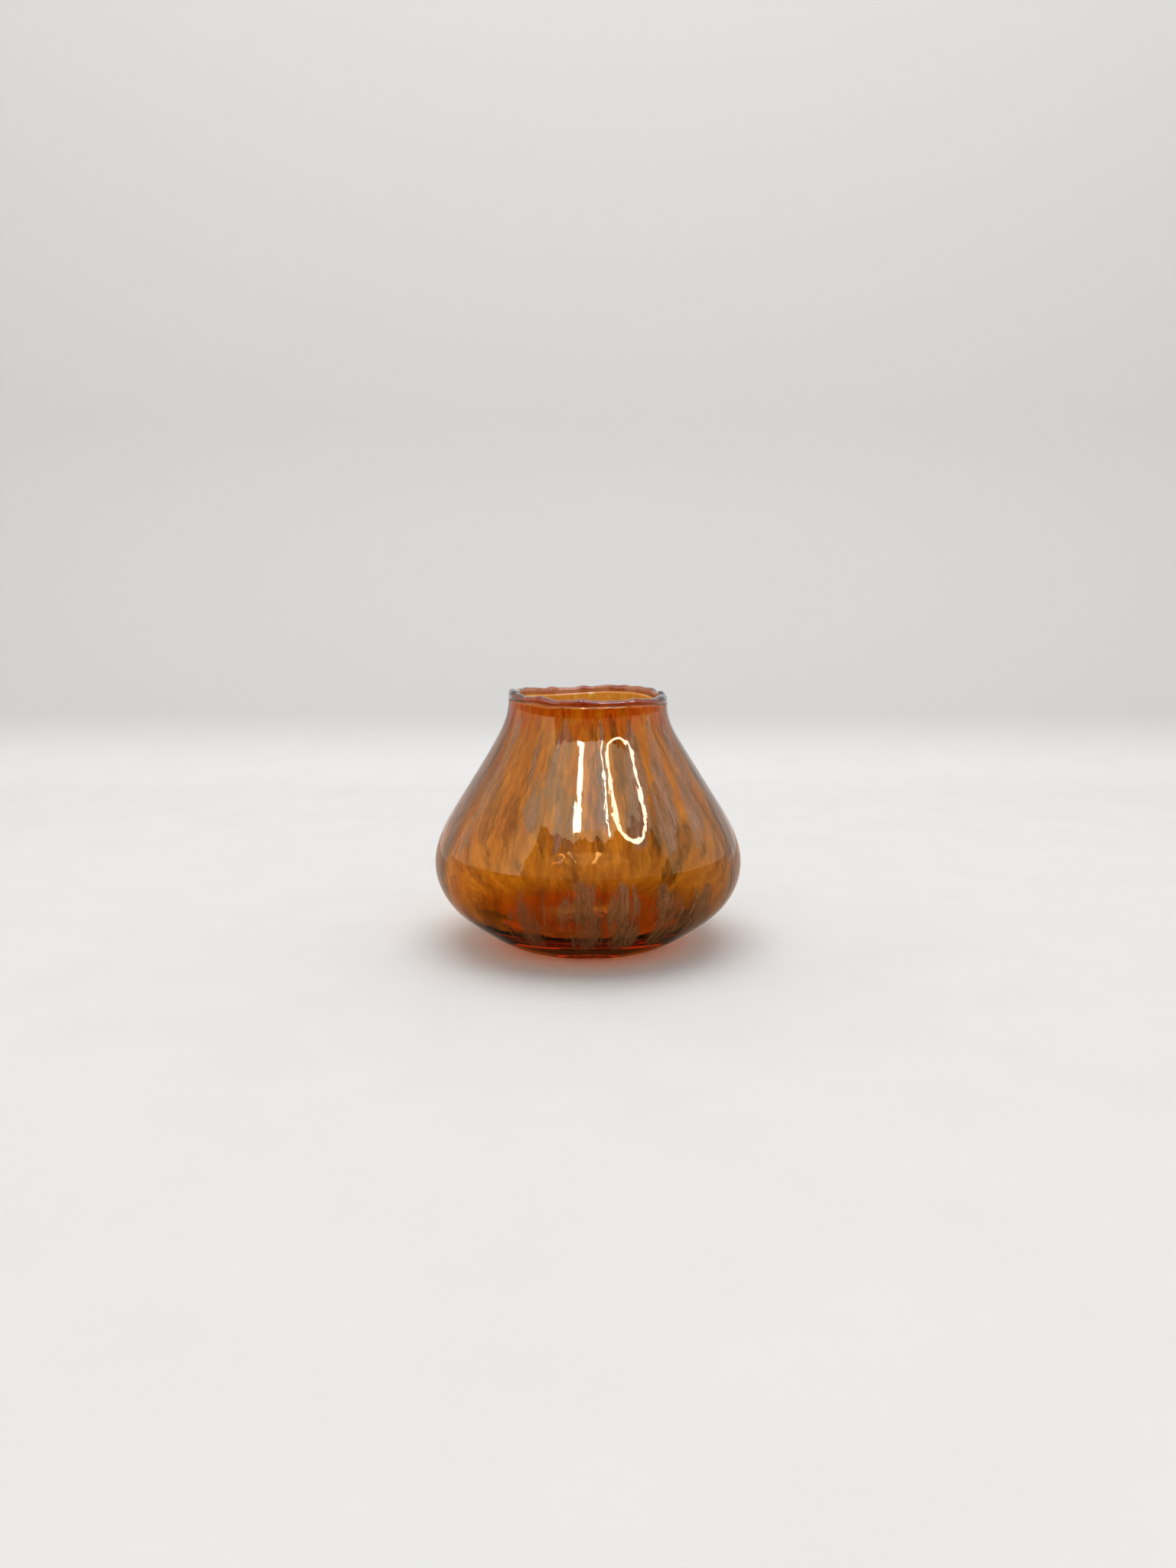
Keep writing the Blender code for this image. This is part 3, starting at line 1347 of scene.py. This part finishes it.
@dataclass
class Streak:
    """One drawn-out streak of smoke glass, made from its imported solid's own outline.

    Attributes:
        turner: places its points.
        layers: the wall's layers.
        node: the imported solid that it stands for.
        stations: stretches from its lower end to its upper one.
        across: facets across it.
        samples: points of the outline that its corners are matched to.
        station_step: how far apart two rows of corners lie along the outline.
        wander: how far its middle drifts, as a share of its half width.
        spread: how much wider its ragged shape is drawn than the solid.
        short_spread: the same for the short streaks low on the belly.
        short_top: height below which a streak counts as short.
    """

    turner: Turner
    layers: Layers
    node: str
    stations: int = 90
    across: int = 10
    samples: int = 1501
    station_step: float = 0.004
    wander: float = 0.35
    spread: float = 1.26
    short_spread: float = 1.42
    short_top: float = 0.045

    def spans(self) -> list[tuple[float, float, float]]:
        """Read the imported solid.

        Returns:
            (u, middle angle, half angle) of its stations, from low to high.
        """
        outline = self.turner.outline
        depth = (self.layers.streak_outer + self.layers.streak_inner) / 2
        samples = np.linspace(0.0, 1.0, self.samples)
        line = np.array([outline.inside(float(u), depth) for u in samples])
        low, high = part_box(self.node)
        middle = math.atan2(low[1] + high[1], low[0] + high[0])
        found: list[tuple[float, float]] = []
        for vertex in bpy.data.objects[self.node].data.vertices:
            x, y, z = vertex.co
            angle = math.atan2(y, x)
            z -= outline.wave(angle, z)
            nearest = np.argmin((line[:, 0] - math.hypot(x, y)) ** 2 + (line[:, 1] - z) ** 2)
            turn = (angle - middle + math.pi) % (2 * math.pi) - math.pi
            found.append((float(samples[nearest]), turn))
        found.sort()
        stations: list[list[tuple[float, float]]] = [[found[0]]]
        for u, turn in found[1:]:
            if u - stations[-1][-1][0] > self.station_step:
                stations.append([])
            stations[-1].append((u, turn))
        spans = []
        for station in stations:
            turns = [turn for _, turn in station]
            half = (max(turns) - min(turns)) / 2
            u = sum(u for u, _ in station) / len(station)
            spans.append((u, middle + min(turns) + half, half))
        return spans

    def build(self, finish: bpy.types.Material) -> bpy.types.Object:
        """Build and dress the streak.

        Args:
            finish: the smoke glass.

        Returns:
            The streak.
        """
        outline = self.turner.outline
        spans = self.spans()
        steps = [span[0] for span in spans]
        short = outline.point(steps[-1])[1] < self.short_top
        spread = self.short_spread if short else self.spread
        centres = [span[1] for span in spans]
        halves = [span[2] for span in spans]
        verts: list[Point] = []
        faces: list[tuple[int, ...]] = []
        pulls: list[tuple[float, float]] = []
        sheets: list[list[list[int]]] = []
        for depth in (self.layers.streak_outer, self.layers.streak_inner):
            sheet = []
            for a in range(self.stations + 1):
                along = a / self.stations
                u = steps[0] + (steps[-1] - steps[0]) * along
                radius, height = outline.inside(u, depth)
                centre = float(np.interp(u, steps, centres))
                half = spread * float(np.interp(u, steps, halves))
                row = []
                for b in range(self.across + 1):
                    side = 2 * b / self.across - 1
                    drift = self.wander * half * noise.noise(
                        Vector((centre * 3, side * 0.7, height * 160))
                    )
                    row.append(len(verts))
                    verts.append(self.turner.place(radius, height, centre + half * side + drift))
                    pulls.append((b / self.across, along))
                sheet.append(row)
            sheets.append(sheet)
        if short:
            pulls = [(across, 1.0 - along) for across, along in pulls]
        outer, inner = sheets
        for a in range(self.stations):
            for b in range(self.across):
                faces.append((outer[a][b], outer[a][b + 1], outer[a + 1][b + 1], outer[a + 1][b]))
                faces.append((inner[a][b], inner[a + 1][b], inner[a + 1][b + 1], inner[a][b + 1]))
            faces.append((outer[a][0], outer[a + 1][0], inner[a + 1][0], inner[a][0]))
            faces.append((outer[a][-1], inner[a][-1], inner[a + 1][-1], outer[a + 1][-1]))
        for b in range(self.across):
            faces.append((outer[0][b], inner[0][b], inner[0][b + 1], outer[0][b + 1]))
            faces.append((outer[-1][b], outer[-1][b + 1], inner[-1][b + 1], inner[-1][b]))
        item = solid(f"{self.node}_glass", verts, faces, (finish,))
        layer = item.data.uv_layers.new(name="pull")
        for loop in item.data.loops:
            layer.data[loop.index].uv = pulls[loop.vertex_index]
        ride(item, [self.node])
        return item


# ---------------------------------------------------------------- the studio


@dataclass
class Sweep:
    """The white board: flat under the vase, then curving up behind it.

    Attributes:
        half_width: half its width.
        front: where its front edge lies.
        bend_start: where it begins to curve up.
        bend_radius: radius of that curve.
        bend_steps: stretches of that curve.
        height: height of its upper edge.
        clear: how far under the vase's foot it lies.
    """

    half_width: float = 1.6
    front: float = -1.3
    bend_start: float = 0.30
    bend_radius: float = 0.24
    bend_steps: int = 24
    height: float = 1.6
    clear: float = 0.0001

    def build(self) -> bpy.types.Object:
        """Build and dress the board.

        Returns:
            The board.
        """
        path = [(self.front, -self.clear), (self.bend_start, -self.clear)]
        for i in range(1, self.bend_steps + 1):
            turn = math.pi / 2 * i / self.bend_steps
            y = self.bend_start + self.bend_radius * math.sin(turn)
            path.append((y, self.bend_radius * (1 - math.cos(turn)) - self.clear))
        path.append((self.bend_start + self.bend_radius, self.height))
        verts = [(side * self.half_width, y, z) for y, z in path for side in (-1, 1)]
        item = solid("white_sweep", verts, ribbon(len(path) - 1), (PaleBoard().make(),))
        return item


@dataclass
class TentWall:
    """The lit fabric wall of the light tent, and the dark room round it.

    Attributes:
        radius: its distance from the vase.
        end_angle: how far it reaches round each side, from the camera's side.
        hem_front: slope of sight from the vase to the hem at the front.
        hem_side: the same slope at the sides.
        top: its height.
        eye: height on the vase where the hem is mirrored.
        steps: facets round each wall.
        sheet_height: height of the dark sheet of painted shade that lies on the table.
        sheet_angle: how far it reaches round to each side, in degrees.
        figure_sides: directions between which someone stands behind the camera.
        figure_radius: how far away they stand.
        figure_top: height of their upper edge.
        figure_rough: how uneven that edge is.
        figure_tone: what their clothes still give back.
    """

    radius: float = 0.60
    end_angle: float = 120.0
    hem_front: float = 0.246
    hem_side: float = 0.115
    top: float = 1.35
    eye: float = 0.032
    steps: int = 60
    sheet_height: float = 0.0001
    sheet_angle: float = 180.0
    figure_sides: tuple[float, float] = (-48.0, 62.0)
    figure_radius: float = 0.58
    figure_top: float = 0.64
    figure_rough: float = 0.10
    figure_tone: Colour = (0.42, 0.40, 0.36)

    def wall(self, name: str, finish: bpy.types.Material, lit: bool) -> bpy.types.Object:
        """Build one of the two walls.

        Args:
            name: its name.
            finish: its material.
            lit: True for the lit wall over the hem, False for the dark one under it.

        Returns:
            The wall, mirrored by the glass but not seen otherwise.
        """
        verts: list[Point] = []
        for i in range(self.steps + 1):
            angle = math.radians(self.end_angle * (2 * i / self.steps - 1))
            slope = self.hem_side + (self.hem_front - self.hem_side) * math.cos(angle)
            x, y = self.radius * math.sin(angle), -self.radius * math.cos(angle)
            hem = self.eye + slope * self.radius
            verts.append((x, y, hem if lit else 0.0))
            verts.append((x, y, self.top if lit else hem))
        return mirrored_only(solid(name, verts, ribbon(self.steps), (finish,)))

    def table(self, finish: bpy.types.Material) -> bpy.types.Object:
        """Build the dark sheet of painted shade on the table, which keeps the table's glare off the
        front of the glass.

        Args:
            finish: its material.

        Returns:
            The sheet, mirrored by the glass but not seen otherwise.
        """
        verts: list[Point] = [(0.0, 0.0, self.sheet_height)]
        for i in range(self.steps + 1):
            angle = math.radians(self.sheet_angle * (2 * i / self.steps - 1))
            x, y = self.radius * math.sin(angle), -self.radius * math.cos(angle)
            verts.append((x, y, self.sheet_height))
        faces = [(0, 1 + i, 2 + i) for i in range(self.steps)]
        return mirrored_only(solid("painted_shade_sheet", verts, faces, (finish,)))

    def figure(self, finish: bpy.types.Material) -> bpy.types.Object:
        """Build the dark, rough-edged shape of someone standing behind the camera.

        Args:
            finish: its material.

        Returns:
            The shape, mirrored by the glass but not seen otherwise.
        """
        verts: list[Point] = []
        low, high = self.figure_sides
        for i in range(self.steps + 1):
            angle = math.radians(low + (high - low) * i / self.steps)
            x, y = self.figure_radius * math.sin(angle), -self.figure_radius * math.cos(angle)
            slope = self.hem_side + (self.hem_front - self.hem_side) * math.cos(angle)
            rough = self.figure_rough * noise.noise(Vector((angle * 9, 2.0, 0.0)))
            verts.append((x, y, self.eye + slope * self.figure_radius))
            verts.append((x, y, self.figure_top + rough))
        return mirrored_only(solid("dark_figure", verts, ribbon(self.steps), (finish,)))

    def build(self) -> None:
        """Build the lit wall, the dark one, the dark sheet of painted shade and the dark figure."""
        dark = TableGlare().make()
        self.wall("tent_wall", TentGlow().make(), True)
        self.wall("dark_room", dark, False)
        # The dark sheet is painted shade on the white table, seen only in the glass.
        self.table(dark)
        self.figure(Glow("dark_figure", self.figure_tone, 1.0).make())


@dataclass
class RingLamp:
    """A thin ring lamp to the right of the camera, whose loop shows in the glass.

    Attributes:
        centre: where it hangs; it faces the vase's foot.
        radius: radius of the ring.
        tube: radius of its tube.
        colour: the light's colour.
        strength: its brightness.
        around: facets round the ring.
        section: facets round the tube.
    """

    centre: Point = (0.318, -0.285, 0.585)
    radius: float = 0.145
    tube: float = 0.013
    colour: Colour = (1.0, 0.80, 1.0)
    strength: float = 34.0
    around: int = 96
    section: int = 10

    def build(self) -> bpy.types.Object:
        """Build and light the ring.

        Returns:
            The ring, mirrored by the glass but not seen otherwise.
        """
        around, section = self.around, self.section
        centre = Vector(self.centre)
        facing = (-centre).normalized()
        side = facing.cross(Vector((0, 0, 1))).normalized()
        up = side.cross(facing)
        verts: list[Point] = []
        for i in range(around):
            a = 2 * math.pi * i / around
            spoke = side * math.cos(a) + up * math.sin(a)
            for j in range(section):
                b = 2 * math.pi * j / section
                verts.append(tuple(
                    centre + spoke * (self.radius + self.tube * math.cos(b))
                    + facing * (self.tube * math.sin(b))
                ))
        faces = []
        for i in range(around):
            for j in range(section):
                k, m = (i + 1) % around, (j + 1) % section
                faces.append((i * section + j, i * section + m, k * section + m, k * section + j))
        finish = Glow("ring_glow", self.colour, self.strength).make()
        return mirrored_only(solid("ring_lamp", verts, faces, (finish,)))


@dataclass
class Window:
    """A lit window above the camera: a glowing pane between a broad and a thin bright jamb.

    Attributes:
        plane_y: how far in front of the vase it stands.
        sill: height of its lower edge.
        head: height of its upper edge.
        left_jamb: the broad jamb's sides.
        right_jamb: the thin jamb's sides.
        jamb_strength: brightness of the jambs.
        pane_strength: brightness of the pane.
        colour: colour of all three.
        steps: stretches that each edge is cut into.
        torn_edge: how uneven the broad jamb's outer edge is.
    """

    plane_y: float = -0.30
    sill: float = 0.365
    head: float = 0.95
    left_jamb: tuple[float, float] = (-0.092, -0.050)
    right_jamb: tuple[float, float] = (0.112, 0.122)
    jamb_strength: float = 33.0
    pane_strength: float = 3.4
    colour: Colour = (0.94, 0.98, 1.45)
    steps: int = 60
    torn_edge: float = 0.9

    def strip(
        self, name: str, sides: tuple[float, float], glow: float, rough: float = 0.0
    ) -> bpy.types.Object:
        """Build one upright, glowing strip.

        Args:
            name: its name.
            sides: where its left and right edges stand.
            glow: its brightness.
            rough: how uneven and how tapered its left edge is, as a share of its width.

        Returns:
            The strip.
        """
        low, high = sides
        verts: list[Point] = []
        for i in range(self.steps + 1):
            share = i / self.steps
            height = self.sill + (self.head - self.sill) * share
            torn = 0.5 * share + 0.5 * abs(noise.noise(Vector((share * 22, 5.0, 1.0))))
            verts.append((low + (high - low) * rough * torn, self.plane_y, height))
            verts.append((high, self.plane_y, height))
        finish = Glow(f"{name}_glow", self.colour, glow).make()
        return mirrored_only(solid(name, verts, ribbon(self.steps), (finish,)))

    def build(self) -> None:
        """Build and light the jambs and the pane."""
        self.strip("window_left_jamb", self.left_jamb, self.jamb_strength, self.torn_edge)
        self.strip("window_right_jamb", self.right_jamb, self.jamb_strength)
        self.strip("window_pane", (self.left_jamb[1], self.right_jamb[0]), self.pane_strength)


def mirrored_only(item: bpy.types.Object) -> bpy.types.Object:
    """Let a studio surface show only as a reflection in the glass.

    Args:
        item: the surface.

    Returns:
        The same surface.
    """
    item.visible_camera = False
    item.visible_diffuse = False
    item.visible_transmission = False
    item.visible_shadow = False
    return item


@dataclass
class Studio:
    """The lights, the sky and the camera.

    Attributes:
        distance: from the camera to the point it looks at.
        look_height: height of that point on the vase's axis.
        pitch: how far the camera looks down, in degrees.
        lens: focal length in millimetres.
        sensor: long side of the film, in millimetres.
        clip: nearest and farthest distance that the camera sees.
        sky: colour of the light from all round.
        sky_low: its brightness from below and level with the vase.
        sky_high: its brightness from straight above.
        top_power: power of the soft light overhead, in watts.
        top_size: side of that light.
        top_place: where it hangs.
        top_colour: its colour.
        see_through: how many clear faces a line of sight may pass.
        bends: how many times light may pass through glass.
        bounces: how many times light may turn in all.
    """

    distance: float = 0.385
    look_height: float = 0.0520
    pitch: float = 9.5
    lens: float = 27.03
    sensor: float = 36.0
    clip: Band = (0.01, 20.0)
    sky: Colour = (0.60, 0.60, 0.595)
    sky_low: float = 1.92
    sky_high: float = 0.46
    top_power: float = 7.2
    top_size: float = 1.1
    top_place: Point = (0.0, -0.05, 1.2)
    top_colour: Colour = (1.0, 0.985, 0.96)
    see_through: int = 32
    bends: int = 28
    bounces: int = 30

    def light_sky(self) -> None:
        """Set the soft light from all round, which is stronger from low down than from above."""
        world = bpy.data.worlds.new("studio_sky")
        world.use_nodes = True
        tree = world.node_tree
        way = tree.nodes.new("ShaderNodeTexCoord")
        parts = tree.nodes.new("ShaderNodeSeparateXYZ")
        level = tree.nodes.new("ShaderNodeMapRange")
        level.inputs["To Min"].default_value = self.sky_low
        level.inputs["To Max"].default_value = self.sky_high
        back = tree.nodes["Background"]
        back.inputs["Color"].default_value = (*self.sky, 1.0)
        tree.links.new(way.outputs["Generated"], parts.inputs[0])
        tree.links.new(parts.outputs[2], level.inputs["Value"])
        tree.links.new(level.outputs["Result"], back.inputs["Strength"])
        bpy.context.scene.world = world

    def hang_softbox(self) -> None:
        """Hang the wide soft light over the vase."""
        light = bpy.data.lights.new("softbox", "AREA")
        light.shape = "SQUARE"
        light.size = self.top_size
        light.energy = self.top_power
        light.color = self.top_colour
        lamp = bpy.data.objects.new("softbox", light)
        lamp.location = self.top_place
        bpy.context.scene.collection.objects.link(lamp)

    def place_camera(self) -> None:
        """Place the camera a little above the lip, looking down at the vase."""
        data = bpy.data.cameras.new("camera")
        data.lens = self.lens
        data.sensor_width = self.sensor
        data.clip_start, data.clip_end = self.clip
        camera = bpy.data.objects.new("camera", data)
        pitch = math.radians(self.pitch)
        back = Vector((0.0, -math.cos(pitch), math.sin(pitch)))
        camera.location = Vector((0.0, 0.0, self.look_height)) + back * self.distance
        camera.rotation_euler = (math.pi / 2 - pitch, 0.0, 0.0)
        bpy.context.scene.collection.objects.link(camera)
        bpy.context.scene.camera = camera

    def grade(self) -> None:
        """Show colours as they are and let light pass all the wall's seams."""
        scene = bpy.context.scene
        scene.view_settings.view_transform = "Standard"
        scene.cycles.transparent_max_bounces = self.see_through
        scene.cycles.transmission_bounces = self.bends
        scene.cycles.max_bounces = self.bounces

    def build(self) -> None:
        """Set up the whole studio."""
        self.light_sky()
        self.hang_softbox()
        self.place_camera()
        self.grade()
        Sweep().build()
        TentWall().build()
        RingLamp().build()
        Window().build()


# ---------------------------------------------------------------- main


def build_vase() -> None:
    """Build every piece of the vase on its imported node."""
    outline = Outline()
    layers = Layers()
    turner = Turner(outline, Unevenness())
    wall_top = outline.lip_top - layers.lip_height
    seam = FusedSeam().make()
    Casing(turner, layers, wall_top).build(CasingSkin().make(), seam)
    Gather(turner, layers, wall_top).build(AmberFilm().make(), InnerSkin().make())
    Lip(LipTurner(outline, Unevenness()), layers, wall_top).build(LipGlass().make(), seam)
    PontilSeal(turner).build(PontilGlass().make())
    smoke = SmokeGlass().make()
    for node in sorted(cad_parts):
        if node.startswith("smoke_streak_"):
            Streak(turner, layers, node).build(smoke)


def main() -> None:
    """Build the vase and its studio."""
    logging.basicConfig(level=logging.INFO, format="%(name)s: %(message)s")
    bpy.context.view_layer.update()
    build_vase()
    Studio().build()


if __name__ == "__main__":
    main()
